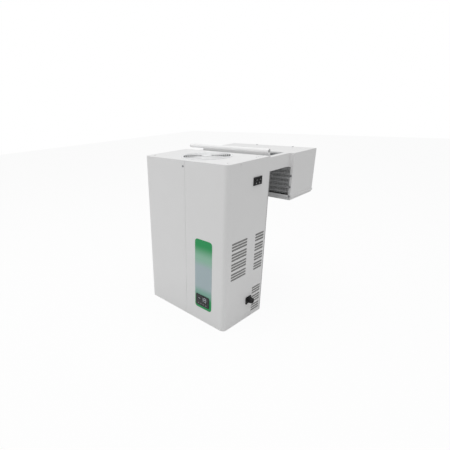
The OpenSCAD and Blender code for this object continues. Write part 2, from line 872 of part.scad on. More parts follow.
module rocker_housing() color("black") {
    mid_z = switch_z0 + switch_h / 2;
    difference() {
        union() {
            block([side_x, side_x + switch_rim], [switch_y0, switch_y0 + switch_w],
                [switch_z0, switch_z0 + switch_h]);
            block([side_x - switch_depth, side_x],
                [switch_y0 + switch_inset, switch_y0 + switch_w - switch_inset],
                [switch_z0 + switch_inset, switch_z0 + switch_h - switch_inset]);
        }
        for (i = [0, 1])
            let (reach = rocker_w / 2 + play, pin = reach + rocker_pin_l) {
                rod_y(rocker_x, [rocker_y(i) - reach, rocker_y(i) + reach], mid_z,
                    rocker_r + play);
                rod_y(rocker_x, [rocker_y(i) - pin, rocker_y(i) + pin], mid_z,
                    rocker_pin_r + run_fit);
            }
    }
}

// a drum with a shallow V for its face, on two stub pins; drawn with its lower half pressed in
module rocker(i) color("dimgray") {
    half = rocker_w / 2;
    rise = rocker_r * tan(rocker_tilt);
    translate([rocker_x, rocker_y(i), switch_z0 + switch_h / 2])
        rotate([0, rocker_tilt, 0])
            rotate([90, 0, 0]) {
                translate([0, 0, -half])
                    linear_extrude(rocker_w)
                        intersection() {
                            circle(r = rocker_r);
                            polygon([[-rocker_r / 3, -rocker_r],
                                [rocker_face + rise, -rocker_r], [rocker_face, 0],
                                [rocker_face + rise, rocker_r], [-rocker_r / 3, rocker_r]]);
                        }
                rod_z(0, 0, [-half - rocker_pin_l, half + rocker_pin_l], rocker_pin_r);
            }
}
module rocker_left() rocker(0);
module rocker_right() rocker(1);

module gland_plate() color("black") difference() {
    z = [gland_z - gland_plate_h / 2, gland_z + gland_plate_h / 2];
    y = gland_plate_y;
    union() {
        block([side_x, side_x + gland_plate_t], y, z);
        block([side_x, side_x + gland_plate_t + gland_rib_h], [y[0], y[0] + gland_rib_w], z);
    }
    rod_x([side_x - over, side_x + gland_plate_t + over], gland_y, gland_z, gland_stem_r + seat);
}

module cable_gland() color("black")
    translate([side_x + gland_plate_t, gland_y, gland_z])
        rotate([0, 90, 0])
            difference() {
                union() {
                    cylinder(r = gland_hex_r, h = gland_hex_h, $fn = 6);
                    rod_z(0, 0, [-gland_plate_t - sheet_t - gland_stem_l, gland_hex_h],
                        gland_stem_r);
                    translate([0, 0, gland_hex_h])
                        rotate_extrude()
                            polygon(concat([[0, 0], [gland_dome_r, 0]],
                                [for (a = [0 : 15 : 90])
                                    [gland_dome_r - gland_nose_r * (1 - cos(a)),
                                    gland_dome_h - gland_nose_r * (1 - sin(a))]],
                                [[0, gland_dome_h]]));
                }
                rod_z(0, 0, [-gland_plate_t - sheet_t - gland_stem_l - over,
                    gland_hex_h + gland_dome_h + over], gland_bore_r);
            }

module gland_locknut() color("dimgray")
    translate([in_x - gland_nut_h, gland_y, gland_z])
        rotate([0, 90, 0])
            difference() {
                cylinder(r = gland_hex_r, h = gland_nut_h, $fn = 6);
                rod_z(0, 0, [-over, gland_nut_h + over], gland_stem_r + seat);
            }

// floor, left side and top strip of the neck, with the upstand that carries the bar
module neck_channel() color("whitesmoke") {
    difference() {
        block([neck_x0, in_x], [wall_y, room_y], [0, sheet_t]);
        block([neck_x0 - over, side_x], [wall_y - over, wall_y + wall_seal_t + seat],
            [-over, seal_joggle]);
    }
    block([neck_x0, neck_x0 + sheet_t], [wall_y, room_y], [seal_joggle, evap_top]);
    block([in_x - sheet_t, in_x], [wall_y, room_y], [seal_joggle, neck_lip_h]);
    block([neck_x0, neck_x0 + neck_flange_w], [wall_y, room_y], [under_evap, evap_top]);
    block([neck_x0, strip_x1], [wall_y, bar_y + sheet_t / 2], [under_evap, evap_top]);
    difference() {
        block([upstand_x0, strip_x1], [bar_y - sheet_t / 2, bar_y + sheet_t / 2],
            [under_evap, bar_z]);
        rod_x([upstand_x0 - over, strip_x1 + over], bar_y, bar_z, bar_r);
    }
}

module neck_insulation() color("khaki")
    block([neck_x0 + sheet_t, in_x - sheet_t], [wall_y, room_y], [sheet_t, foam_top]);

module neck_lid() color("darkgray") difference() {
    union() {
        block([neck_x0 + sheet_t, in_x], [wall_y, room_y], [neck_lid_z, neck_lid_z + sheet_t]);
        for (y = [wall_y, room_y - sheet_t])
            block([neck_x0 + sheet_t, in_x], [y, y + sheet_t],
                [neck_lid_z, neck_lid_z + neck_lip_h]);
    }
    block(hole_x, hole_y, [neck_lid_z - over, neck_lid_z + sheet_t + over]);
}

module evaporator_cover() color("white") difference() {
    block([evap_x0, evap_x1], [room_y, tail_y], [evap_base, evap_top]);
    block([evap_x0 + sheet_t, evap_x1 - sheet_t], [room_y + sheet_t, tail_y - sheet_t],
        [evap_base - over, under_evap]);
    block([evap_x0 + ev_post, evap_x1 - ev_post], [room_y - over, room_y + sheet_t + over],
        [evap_base - over, -ev_band]);
    pipe_holes([room_y - over, room_y + sheet_t + over]);
    for (x = ev_fan_x)
        rod_y(x, [tail_y - sheet_t - over, tail_y + over], ev_fan_z, ev_fan_r);
    for (x = ev_screw_x)
        rod_z(x, ev_screw_y, [under_evap - over, evap_top + over], screw_hole_r);
    for (z = flange_screw_z)
        flange_holes(z);
}

module flange_holes(z)
    for (side = [-1, 1])
        rod_y(evap_mid + side * flange_screw_x, [room_y - over, room_y + 2 * skin], z,
            screw_hole_r);

// profile of the pan across the wall, drawn in by t
module pan_profile(t, top)
    polygon([[room_y + pan_step + t, pan_wall_z + t], [tail_y - pan_step - t, pan_room_z + t],
        [tail_y - pan_step - t, top], [room_y + pan_step + t, top]]);

module pan_body(x, t, top)
    translate([x[0], 0, 0])
        rotate([90, 0, 90])
            linear_extrude(x[1] - x[0]) pan_profile(t, top);

module drain_pan() color("white") difference() {
    band_z = evap_base - pan_band_h;
    union() {
        pan_body([evap_x0 + pan_step, evap_x1 - pan_step], 0, evap_base);
        block([evap_x0, evap_x1], [room_y, tail_y], [band_z, evap_base]);
        rod_z(spigot_x, spigot_y, [pan_wall_z - spigot_l, band_z], spigot_r);
        rod_z(spigot_x, spigot_y, [pan_wall_z - spigot_collar_h, band_z], spigot_collar_r);
    }
    pan_body([evap_x0 + pan_step + sheet_t, evap_x1 - pan_step - sheet_t], sheet_t,
        evap_base + over);
    block([evap_x0 + sheet_t, evap_x1 - sheet_t], [room_y + sheet_t, tail_y - sheet_t],
        [band_z + sheet_t, evap_base + over]);
    rod_z(spigot_x, spigot_y, [pan_wall_z - spigot_l - over, evap_base], spigot_bore_r);
    flange_holes(pan_screw_z);
}

module evaporator_coil() color("silver") {
    finned_block([ev_coil_x0, ev_coil_x1], [ev_coil_y0, ev_coil_y1], [ev_coil_z0, under_evap],
        ev_fin_pitch, ev_rows);
    for (i = [0 : ev_bends - 1])
        translate([ev_coil_x0, (ev_coil_y0 + ev_coil_y1) / 2, ev_bend_z + 1.6 * i * ev_bend_gap])
            rotate([0, -90, 0])
                return_bend(ev_bend_gap, tube_r);
}

// a tube bent into a long U under the coil, with a soft cap on each end
module defrost_heater() color("dimgray") {
    half = (heater_y[1] - heater_y[0]) / 2;
    for (y = heater_y) {
        rod_x([heater_x0, heater_x1], y, heater_z, heater_r);
        rod_x([heater_x0 - heater_cap_l, heater_x0], y, heater_z, heater_cap_r);
    }
    translate([heater_x1, heater_y[0] + half, heater_z])
        rotate([0, 0, -90])
            rotate_extrude(angle = 180)
                translate([half, 0]) circle(r = heater_r);
}

// square axial frame with the stator on four struts; its axis runs into the room
module fan_frame(i) color("black")
    translate([ev_fan_x[i], ev_fan_y, ev_fan_z])
        rotate([-90, 0, 0]) {
            difference() {
                block([-ev_frame_half, ev_frame_half], [-ev_frame_half, ev_frame_half],
                    [0, ev_frame_d]);
                rod_z(0, 0, [-over, ev_frame_d + over], ev_fan_r);
                for (sx = [-1, 1])
                    for (sy = [-1, 1])
                        rod_z(sx * ev_frame_hole, sy * ev_frame_hole, [-over, ev_frame_d + over],
                            ev_frame_hole_r);
            }
            rod_z(0, 0, [0, ev_base_h], ev_hub_r);
            rod_z(0, 0, [0, ev_rotor_z + ev_hub_h - ev_hub_wall - seat], ev_shaft_r);
            for (a = [0 : 3])
                rotate([0, 0, 45 + a * 90])
                    translate([ev_hub_r - ev_strut_w / 2, -ev_strut_w / 2, 0])
                        cube([ev_fan_r - ev_hub_r + ev_strut_w, ev_strut_w, ev_base_h]);
        }
module fan_frame_left() fan_frame(0);
module fan_frame_right() fan_frame(1);

module fan_rotor(i) color("dimgray")
    translate([ev_fan_x[i], ev_fan_y, ev_fan_z])
        rotate([-90, 0, 0])
            translate([0, 0, ev_rotor_z])
                rotor(ev_fan_r - ev_blade_gap, ev_hub_r, ev_hub_h, ev_hub_wall, 5, ev_blade_h,
                    blade_twist, ev_shaft_r + run_fit);
module fan_rotor_left() fan_rotor(0);
module fan_rotor_right() fan_rotor(1);

module fan_grille(i) color("black")
    translate([ev_fan_x[i], tail_y, ev_fan_z])
        rotate([-90, 0, 0])
            ring_grille(ev_guard_r, ev_guard_hub, ev_ring_pitch, ev_guard_t, ring_h, 4, spoke_w);
module fan_grille_left() fan_grille(0);
module fan_grille_right() fan_grille(1);

module cover_screws() color("silver") {
    translate([front_screw_x, front_y, front_screw_z]) rotate([90, 0, 0]) screw(screw_l);
    for (side = [-1, 1]) {
        translate([side * side_x, side_screw_y, side_screw_z])
            rotate([0, side * 90, 0]) screw(screw_l);
        translate([side * lid_screw_x, lid_screw_y, top_z]) screw(screw_l);
    }
}

module evaporator_screws() color("silver") {
    for (x = ev_screw_x)
        translate([x, ev_screw_y, evap_top]) screw(screw_l);
    for (side = [-1, 1])
        for (z = concat(flange_screw_z, pan_screw_z))
            translate([evap_mid + side * flange_screw_x, room_y, z])
                rotate([90, 0, 0]) screw(screw_l);
}

base_tray();
left_cover();
right_cover();
top_panel();
back_panel();
mid_shelf();
wall_seal();
fan_guard();
lifting_bar();
fan_shroud();
condenser_coil();
condenser_fan_motor();
condenser_fan_blades();
compressor();
compressor_grommets();
compressor_bolts();
terminal_cover();
discharge_pipe();
condenser_outlet_pipe();
filter_drier();
liquid_pipe();
suction_pipe();
electrical_box();
electrical_box_lid();
label_plate();
controller_case();
controller_display();
key_1();
key_2();
key_3();
key_4();
rocker_housing();
rocker_left();
rocker_right();
gland_plate();
cable_gland();
gland_locknut();
neck_channel();
neck_insulation();
neck_lid();
evaporator_cover();
drain_pan();
evaporator_coil();
defrost_heater();
fan_frame_left();
fan_frame_right();
fan_rotor_left();
fan_rotor_right();
fan_grille_left();
fan_grille_right();
cover_screws();
evaporator_screws();
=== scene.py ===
# Monoblock refrigeration unit for a cold room, dressed for a studio picture.
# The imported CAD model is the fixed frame; everything here is in metres.
import bpy
import bmesh
import math
from mathutils import Matrix, Vector


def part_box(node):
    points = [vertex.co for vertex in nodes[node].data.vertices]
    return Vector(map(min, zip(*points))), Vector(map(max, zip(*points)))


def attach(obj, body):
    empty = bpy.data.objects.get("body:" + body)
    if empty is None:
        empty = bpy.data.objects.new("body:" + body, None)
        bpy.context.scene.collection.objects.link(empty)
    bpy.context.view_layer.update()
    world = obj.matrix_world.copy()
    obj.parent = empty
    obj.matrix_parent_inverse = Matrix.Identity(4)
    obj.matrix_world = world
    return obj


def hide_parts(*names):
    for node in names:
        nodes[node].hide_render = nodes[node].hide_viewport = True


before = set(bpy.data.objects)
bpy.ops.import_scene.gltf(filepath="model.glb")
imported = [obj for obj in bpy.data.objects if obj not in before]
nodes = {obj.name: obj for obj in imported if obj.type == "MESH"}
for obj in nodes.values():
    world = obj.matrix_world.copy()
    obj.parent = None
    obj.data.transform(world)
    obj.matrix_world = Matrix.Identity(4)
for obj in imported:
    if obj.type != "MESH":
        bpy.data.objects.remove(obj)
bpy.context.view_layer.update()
mm = 0.001
weld = 0.00001  # points of a mesh closer than this are one


# helpers for materials
def newMaterial(name):
    mat = bpy.data.materials.new(name)
    mat.use_nodes = True
    tree = mat.node_tree
    shader = tree.nodes["Principled BSDF"]
    coords = tree.nodes.new("ShaderNodeTexCoord")
    return mat, tree, shader, coords


def noiseNode(tree, coords, scale, detail=3.0, roughness=0.5, stretch=(1, 1, 1)):
    place = tree.nodes.new("ShaderNodeMapping")
    place.inputs["Scale"].default_value = stretch
    tree.links.new(coords.outputs["Object"], place.inputs["Vector"])
    noise = tree.nodes.new("ShaderNodeTexNoise")
    noise.inputs["Scale"].default_value = scale
    noise.inputs["Detail"].default_value = detail
    noise.inputs["Roughness"].default_value = roughness
    tree.links.new(place.outputs["Vector"], noise.inputs["Vector"])
    return noise


def rampNode(tree, source, stops):
    ramp = tree.nodes.new("ShaderNodeValToRGB")
    while len(ramp.color_ramp.elements) < len(stops):
        ramp.color_ramp.elements.new(0.5)
    for element, (place, colour) in zip(ramp.color_ramp.elements, stops):
        element.position = place
        element.color = (*colour, 1)
    tree.links.new(source, ramp.inputs["Fac"])
    return ramp


def rangeNode(tree, source, low, high, fromLow=0.0, fromHigh=1.0):
    node = tree.nodes.new("ShaderNodeMapRange")
    node.inputs["From Min"].default_value = fromLow
    node.inputs["From Max"].default_value = fromHigh
    node.inputs["To Min"].default_value = low
    node.inputs["To Max"].default_value = high
    tree.links.new(source, node.inputs["Value"])
    return node


def bumpNode(tree, source, shader, strength, distance):
    bump = tree.nodes.new("ShaderNodeBump")
    bump.inputs["Strength"].default_value = strength
    bump.inputs["Distance"].default_value = distance
    tree.links.new(source, bump.inputs["Height"])
    tree.links.new(bump.outputs["Normal"], shader.inputs["Normal"])


def shadeOf(colour, k):
    return tuple(min(1.0, c * k) for c in colour)


# the base colour runs through the stops as the source rises
def colourBy(tree, shader, source, stops):
    ramp = rampNode(tree, source, stops)
    tree.links.new(ramp.outputs["Color"], shader.inputs["Base Color"])


def glossBy(tree, shader, source, look):
    gloss = rangeNode(tree, source, look["rough"] - look["glossier"],
                      look["rough"] + look["duller"])
    tree.links.new(gloss.outputs["Result"], shader.inputs["Roughness"])


def cellsNode(tree, coords, scale):
    cells = tree.nodes.new("ShaderNodeTexVoronoi")
    cells.inputs["Scale"].default_value = scale
    tree.links.new(coords.outputs["Object"], cells.inputs["Vector"])
    return cells


# paint and plastic: colour drifts a little, the finish has its own grain, the gloss is uneven
paintGrain = dict(driftFrom=0.3, driftTo=0.7, detail=2.0, roughness=0.6, glossier=0.05,
                  duller=0.06, metal=0.0, specular=0.5)


def paintMaterial(name, paint):
    look = {**paintGrain, **paint}
    mat, tree, shader, coords = newMaterial(name)
    cloud = noiseNode(tree, coords, look["cloudScale"], look["detail"])
    colourBy(tree, shader, cloud.outputs["Fac"], [
        (look["driftFrom"], shadeOf(look["colour"], 1 - look["drift"])),
        (look["driftTo"], look["colour"])])
    grain = noiseNode(tree, coords, look["grainScale"], look["detail"], look["roughness"])
    glossBy(tree, shader, grain.outputs["Fac"], look)
    bumpNode(tree, grain.outputs["Fac"], shader, look["bump"], look["bumpDepth"])
    shader.inputs["Metallic"].default_value = look["metal"]
    shader.inputs["Specular IOR Level"].default_value = look["specular"]
    return mat


# what the paints and plastics look like
powderCoat = dict(colour=(0.80, 0.80, 0.80), drift=0.012, cloudScale=9, grainScale=900,
                  rough=0.42, bump=0.10, bumpDepth=0.0002)
panPaint = dict(colour=(0.78, 0.78, 0.78), drift=0.015, cloudScale=14, grainScale=800,
                rough=0.38, bump=0.10, bumpDepth=0.0002)
barPaint = dict(colour=(0.88, 0.88, 0.88), drift=0.03, cloudScale=40, grainScale=700,
                rough=0.34, bump=0.12, bumpDepth=0.0002)
blackPlastic = dict(colour=(0.018, 0.018, 0.019), drift=0.25, cloudScale=60, grainScale=2400,
                    rough=0.55, bump=0.35, bumpDepth=0.0002, specular=0.3)
glossPlastic = dict(colour=(0.016, 0.017, 0.019), drift=0.2, cloudScale=50, grainScale=1200,
                    rough=0.16, bump=0.05, bumpDepth=0.0001)
greyPlastic = dict(colour=(0.085, 0.087, 0.092), drift=0.2, cloudScale=70, grainScale=2000,
                   rough=0.45, bump=0.3, bumpDepth=0.0002)
keyPlastic = dict(colour=(0.10, 0.10, 0.105), drift=0.1, cloudScale=200, grainScale=3000,
                  rough=0.5, bump=0.3, bumpDepth=0.0001)
sealRubber = dict(colour=(0.50, 0.50, 0.50), drift=0.3, cloudScale=80, grainScale=1500,
                  rough=0.78, bump=0.6, bumpDepth=0.0004)
compressorPaint = dict(colour=(0.022, 0.022, 0.024), drift=0.25, cloudScale=25, grainScale=500,
                       rough=0.3, bump=0.25, bumpDepth=0.0004)
pipeCopper = dict(colour=(0.62, 0.27, 0.13), drift=0.35, cloudScale=90, grainScale=900,
                  rough=0.28, bump=0.15, bumpDepth=0.0002, metal=1.0)
screwZinc = dict(colour=(0.46, 0.47, 0.49), drift=0.2, cloudScale=300, grainScale=3000,
                 rough=0.3, bump=0.2, bumpDepth=0.0001, metal=1.0)
guardWire = dict(colour=(0.86, 0.865, 0.87), drift=0.05, cloudScale=60, grainScale=1500,
                 rough=0.4, bump=0.2, bumpDepth=0.0002)
litFigure = dict(colour=(0.62, 0.66, 0.70), drift=0.1, cloudScale=200, grainScale=2000,
                 rough=0.4, bump=0.05, bumpDepth=0.0001, glow=0.25)
# painted light: the grey of the sheets behind the vents, so the slots read as the lit inside
paintedVentLight = dict(colour=(0.30, 0.30, 0.295), drift=0.25, cloudScale=220, grainScale=900,
                 rough=0.9, bump=0.5, bumpDepth=0.0005)
rockerPlastic = dict(colour=(0.016, 0.016, 0.017), drift=0.2, cloudScale=90, grainScale=1500,
                     rough=0.55, bump=0.1, bumpDepth=0.0001, specular=0.2)
whiteMark = dict(colour=(0.70, 0.71, 0.72), drift=0.08, cloudScale=200, grainScale=2000,
                 rough=0.5, bump=0.1, bumpDepth=0.0001)


sheetZinc = dict(colour=(0.42, 0.43, 0.44), spangle=70, light=1.15, darkAt=0.6, dark=0.85,
                 rough=0.36, glossier=0.08, duller=0.1, metal=0.85, grainScale=600, bump=0.15,
                 bumpDepth=0.0002)


def zincMaterial(name, look):
    mat, tree, shader, coords = newMaterial(name)
    cells = cellsNode(tree, coords, look["spangle"])
    colourBy(tree, shader, cells.outputs["Distance"], [
        (0.0, shadeOf(look["colour"], look["light"])),
        (look["darkAt"], shadeOf(look["colour"], look["dark"]))])
    glossBy(tree, shader, cells.outputs["Distance"], look)
    shader.inputs["Metallic"].default_value = look["metal"]
    grain = noiseNode(tree, coords, look["grainScale"])
    bumpNode(tree, grain.outputs["Fac"], shader, look["bump"], look["bumpDepth"])
    return mat


# brushed along the fins
finMetal = dict(colour=(0.62, 0.625, 0.63), streakScale=120, detail=4.0, roughness=0.6,
                stretch=(6, 1, 0.4), darkAt=0.25, dark=0.7, lightAt=0.75, light=1.1, rough=0.5,
                glossier=0.1, duller=0.12, metal=0.35, bump=0.25, bumpDepth=0.0003)


def finMaterial(name, look):
    mat, tree, shader, coords = newMaterial(name)
    streak = noiseNode(tree, coords, look["streakScale"], look["detail"], look["roughness"],
                       look["stretch"])
    colourBy(tree, shader, streak.outputs["Fac"], [
        (look["darkAt"], shadeOf(look["colour"], look["dark"])),
        (look["lightAt"], shadeOf(look["colour"], look["light"]))])
    glossBy(tree, shader, streak.outputs["Fac"], look)
    shader.inputs["Metallic"].default_value = look["metal"]
    bumpNode(tree, streak.outputs["Fac"], shader, look["bump"], look["bumpDepth"])
    return mat


foamBlock = dict(colour=(0.72, 0.62, 0.38), cellScale=500, dark=0.6, fullAt=0.5, rough=0.9,
                 bump=0.6, bumpDepth=0.0006)


def foamMaterial(name, look):
    mat, tree, shader, coords = newMaterial(name)
    cells = cellsNode(tree, coords, look["cellScale"])
    colourBy(tree, shader, cells.outputs["Distance"], [
        (0.0, shadeOf(look["colour"], look["dark"])), (look["fullAt"], look["colour"])])
    shader.inputs["Roughness"].default_value = look["rough"]
    bumpNode(tree, cells.outputs["Distance"], shader, look["bump"], look["bumpDepth"])
    return mat


# the film's colour runs from green at both ends to a pale teal between
labelFilm = dict(green=(0.004, 0.33, 0.09), leaf=(0.24, 0.46, 0.38), pale=(0.30, 0.56, 0.42),
                 mist=(0.43, 0.53, 0.56),
                 stops=((0.0, "green"), (0.13, "green"), (0.24, "leaf"), (0.34, "mist"),
                        (0.60, "mist"), (0.74, "pale"), (0.93, "green")),
                 speckScale=700, detail=2.0, speckMix=0.12, rough=0.5, glossier=0.05,
                 duller=0.05, bump=0.05, bumpDepth=0.0001)


def labelMaterial(name, look, zLow, zHigh):
    mat, tree, shader, coords = newMaterial(name)
    split = tree.nodes.new("ShaderNodeSeparateXYZ")
    tree.links.new(coords.outputs["Object"], split.inputs["Vector"])
    along = rangeNode(tree, split.outputs["Z"], 0, 1, zLow, zHigh)
    ramp = rampNode(tree, along.outputs["Result"],
                    [(place, look[colour]) for place, colour in look["stops"]])
    ramp.color_ramp.interpolation = "EASE"
    speck = noiseNode(tree, coords, look["speckScale"], look["detail"])
    mix = tree.nodes.new("ShaderNodeMix")
    mix.data_type = "RGBA"
    mix.blend_type = "MULTIPLY"
    mix.inputs["Factor"].default_value = look["speckMix"]
    tree.links.new(ramp.outputs["Color"], mix.inputs["A"])
    tree.links.new(speck.outputs["Fac"], mix.inputs["B"])
    tree.links.new(mix.outputs["Result"], shader.inputs["Base Color"])
    glossBy(tree, shader, speck.outputs["Fac"], look)
    bumpNode(tree, speck.outputs["Fac"], shader, look["bump"], look["bumpDepth"])
    return mat


def figureMaterial(name, look):
    mat = paintMaterial(name, look)
    shader = mat.node_tree.nodes["Principled BSDF"]
    shader.inputs["Emission Color"].default_value = (*look["colour"], 1)
    shader.inputs["Emission Strength"].default_value = look["glow"]
    return mat


labelLow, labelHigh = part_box("label_plate")
finishes = {
    "powderCoat": paintMaterial("powder coat", powderCoat),
    "panPaint": paintMaterial("pan paint", panPaint),
    "barPaint": paintMaterial("bar paint", barPaint),
    "blackPlastic": paintMaterial("black plastic", blackPlastic),
    "glossPlastic": paintMaterial("gloss plastic", glossPlastic),
    "greyPlastic": paintMaterial("grey plastic", greyPlastic),
    "keyPlastic": paintMaterial("key plastic", keyPlastic),
    "sealRubber": paintMaterial("seal rubber", sealRubber),
    "compressorPaint": paintMaterial("compressor paint", compressorPaint),
    "pipeCopper": paintMaterial("pipe copper", pipeCopper),
    "screwZinc": paintMaterial("screw zinc", screwZinc),
    "guardWire": paintMaterial("guard wire", guardWire),
    "sheetZinc": zincMaterial("zinc sheet", sheetZinc),
    "finMetal": finMaterial("fin metal", finMetal),
    "foamBlock": foamMaterial("foam", foamBlock),
    "litFigure": figureMaterial("lit figure", litFigure),
    "whiteMark": paintMaterial("white mark", whiteMark),
    "paintedVentLight": paintMaterial("painted vent light", paintedVentLight),
    "rockerPlastic": paintMaterial("rocker plastic", rockerPlastic),
    "label": labelMaterial("label film", labelFilm, labelLow.z, labelHigh.z),
}
print("finishes made")

# which finish each CAD node wears
nodeFinish = {
    "powderCoat": ["base_tray", "left_cover", "right_cover", "top_panel", "neck_channel",
                   "evaporator_cover"],
    "panPaint": ["drain_pan"],
    "barPaint": ["lifting_bar"],
    "sheetZinc": ["back_panel", "mid_shelf", "fan_shroud", "electrical_box",
                  "electrical_box_lid", "neck_lid"],
    "sealRubber": ["wall_seal"],
    "guardWire": ["fan_guard"],
    "finMetal": ["condenser_coil", "evaporator_coil"],
    "greyPlastic": ["condenser_fan_motor", "condenser_fan_blades", "terminal_cover",
                    "defrost_heater", "fan_rotor_left", "fan_rotor_right"],
    "compressorPaint": ["compressor"],
    "screwZinc": ["compressor_bolts", "cover_screws", "evaporator_screws"],
    "pipeCopper": ["discharge_pipe", "condenser_outlet_pipe", "filter_drier", "liquid_pipe",
                   "suction_pipe"],
    "label": ["label_plate"],
    "glossPlastic": ["controller_case", "controller_display"],
    "rockerPlastic": ["rocker_left", "rocker_right"],
    "keyPlastic": ["key_1", "key_2", "key_3", "key_4"],
    "blackPlastic": ["compressor_grommets", "rocker_housing", "gland_plate", "cable_gland",
                     "gland_locknut", "fan_frame_left", "fan_frame_right", "fan_grille_left",
                     "fan_grille_right"],
    "foamBlock": ["neck_insulation"],
}
for finish, names in nodeFinish.items():
    for name in names:
        mesh = nodes[name].data
        mesh.materials.clear()
        mesh.materials.append(finishes[finish])
print("CAD nodes dressed")


# helpers for modelling
def deselectAll():
    if bpy.context.object and bpy.context.object.mode != "OBJECT":
        bpy.ops.object.mode_set(mode="OBJECT")
    bpy.ops.object.select_all(action="DESELECT")


def makeActive(obj):
    deselectAll()
    obj.select_set(True)
    bpy.context.view_layer.objects.active = obj


def settle(obj):
    makeActive(obj)
    bpy.ops.object.transform_apply(location=True, rotation=True, scale=True)


def addBox(name, low, high):
    deselectAll()
    centre = (Vector(low) + Vector(high)) / 2
    bpy.ops.mesh.primitive_cube_add(size=1, location=centre, scale=Vector(high) - Vector(low))
    box = bpy.context.active_object
    box.name = name
    settle(box)
    return box


def addRod(name, centre, radius, length, axis="Z", sides=48):
    deselectAll()
    turn = {"X": (0, math.pi / 2, 0), "Y": (math.pi / 2, 0, 0), "Z": (0, 0, 0)}[axis]
    bpy.ops.mesh.primitive_cylinder_add(vertices=sides, radius=radius, depth=length,
                                        location=centre, rotation=turn)
    rod = bpy.context.active_object
    rod.name = name
    settle(rod)
    return rod


def addRing(name, centre, radius, wire, turn=(0, 0, 0), around=96, sides=10):
    deselectAll()
    bpy.ops.mesh.primitive_torus_add(location=centre, rotation=turn, major_radius=radius,
                                     minor_radius=wire, major_segments=around,
                                     minor_segments=sides)
    ring = bpy.context.active_object
    ring.name = name
    settle(ring)
    return ring


edgeLook = dict(bevelOver=30, smoothUnder=35)  # degrees between two faces


def softenEdges(obj, width, segments=2):
    makeActive(obj)
    bevel = obj.modifiers.new("soft edge", "BEVEL")
    bevel.width = width
    bevel.segments = segments
    bevel.limit_method = "ANGLE"
    bevel.angle_limit = math.radians(edgeLook["bevelOver"])
    bpy.ops.object.modifier_apply(modifier=bevel.name)
    bpy.ops.object.shade_smooth_by_angle(angle=math.radians(edgeLook["smoothUnder"]))
    weight = obj.modifiers.new("flat faces", "WEIGHTED_NORMAL")
    weight.keep_sharp = True
    bpy.ops.object.modifier_apply(modifier=weight.name)


def cutAway(obj, tool):
    makeActive(obj)
    cut = obj.modifiers.new("cut", "BOOLEAN")
    cut.operation = "DIFFERENCE"
    cut.solver = "EXACT"
    cut.object = tool
    bpy.ops.object.modifier_apply(modifier=cut.name)
    bpy.data.objects.remove(tool)


def joinAll(name, parts):
    deselectAll()
    for part in parts:
        part.select_set(True)
    bpy.context.view_layer.objects.active = parts[0]
    bpy.ops.object.join()
    parts[0].name = name
    return parts[0]


def place(obj, finish, slotName, body="unit", instead=()):
    obj.data.materials.clear()
    obj.data.materials.append(finishes[finish])
    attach(obj, body)
    if instead:
        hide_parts(*instead)
    return obj


flatWithin = 1  # degrees: triangles nearer to one plane than this are one face


# a copy of a CAD node, its triangles merged back into whole faces
def copyNode(node, name):
    deselectAll()
    copy = bpy.data.objects.new(name, nodes[node].data.copy())
    bpy.context.scene.collection.objects.link(copy)
    makeActive(copy)
    bpy.ops.object.mode_set(mode="EDIT")
    bpy.ops.mesh.select_all(action="SELECT")
    bpy.ops.mesh.remove_doubles(threshold=weld)
    bpy.ops.mesh.dissolve_limited(angle_limit=math.radians(flatWithin))
    bpy.ops.object.mode_set(mode="OBJECT")
    return copy


def copyTo(obj, name, move):
    twin = obj.copy()
    twin.data = obj.data.copy()
    twin.name = name
    bpy.context.scene.collection.objects.link(twin)
    twin.data.transform(Matrix.Translation(move))
    return twin


# folded sheet and moulded cases: every edge gets its small radius
foldedSheet = dict(radius=0.0006, panels=[
    ("left_cover", "leftCover", "powderCoat", "white_paint"),
    ("right_cover", "rightCover", "powderCoat", "white_paint"),
    ("top_panel", "topPanel", "powderCoat", "white_paint"),
    ("neck_channel", "neckSheet", "powderCoat", "white_paint"),
    ("evaporator_cover", "evaporatorCover", "powderCoat", "white_paint"),
    ("drain_pan", "drainPan", "panPaint", "white_paint"),
    ("lifting_bar", "liftingBar", "barPaint", "white_paint"),
    ("controller_case", "controllerCase", "glossPlastic", "gloss_black"),
    ("rocker_housing", "rockerHousing", "blackPlastic", "black_plastic"),
    ("gland_plate", "glandPlate", "blackPlastic", "black_plastic"),
])
# the top strip runs on to the right side, and the right cover's flange starts behind it
stripEnds = dict(above=49 * mm, near=0.2 * mm, panels={
    "neck_channel": dict(axis=0, old=165 * mm, new=207 * mm, low=-70 * mm, high=-50 * mm),
    "right_cover": dict(axis=1, old=-65.8 * mm, new=-56.4 * mm, low=189 * mm, high=213.4 * mm),
})
# the front corners are bent tighter than the CAD sheet's: each arc keeps its angles
cornerLook = dict(old=42 * mm, new=18 * mm, sheet=5 * mm, over=mm, slack=0.02 * mm,
                  footEdge=10 * mm, topEdge=20 * mm,
                  panels=("left_cover", "right_cover", "top_panel"))


def tightenCorners(panel, look):
    low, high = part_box("top_panel")
    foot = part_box("left_cover")[0].z
    shift = look["old"] - look["new"]
    for vert in panel.data.vertices:
        side = 1 if vert.co.x > 0 else -1
        dx = side * vert.co.x - (high.x - look["old"])
        dy = low.y + look["old"] - vert.co.y
        reach = math.hypot(dx, dy)
        onArc = look["old"] - look["sheet"] < reach < look["old"] + look["over"]
        if min(dx, dy) < -look["slack"] or not onArc:
            continue
        if foot + look["footEdge"] < vert.co.z < high.z - look["topEdge"]:
            vert.co.x = side * (high.x - look["old"] + reach)  # a vent's edge lies flat
            continue
        k = (reach - shift) / reach
        vert.co.x = side * (high.x - look["new"] + dx * k)
        vert.co.y = low.y + look["new"] - dy * k


def moveStripEnd(panel, look, end):
    axis = end["axis"]
    for vert in panel.data.vertices:
        atEnd = abs(vert.co[axis] - end["old"]) < look["near"]
        if atEnd and end["low"] < vert.co[1 - axis] < end["high"] and vert.co.z > look["above"]:
            vert.co[axis] = end["new"]


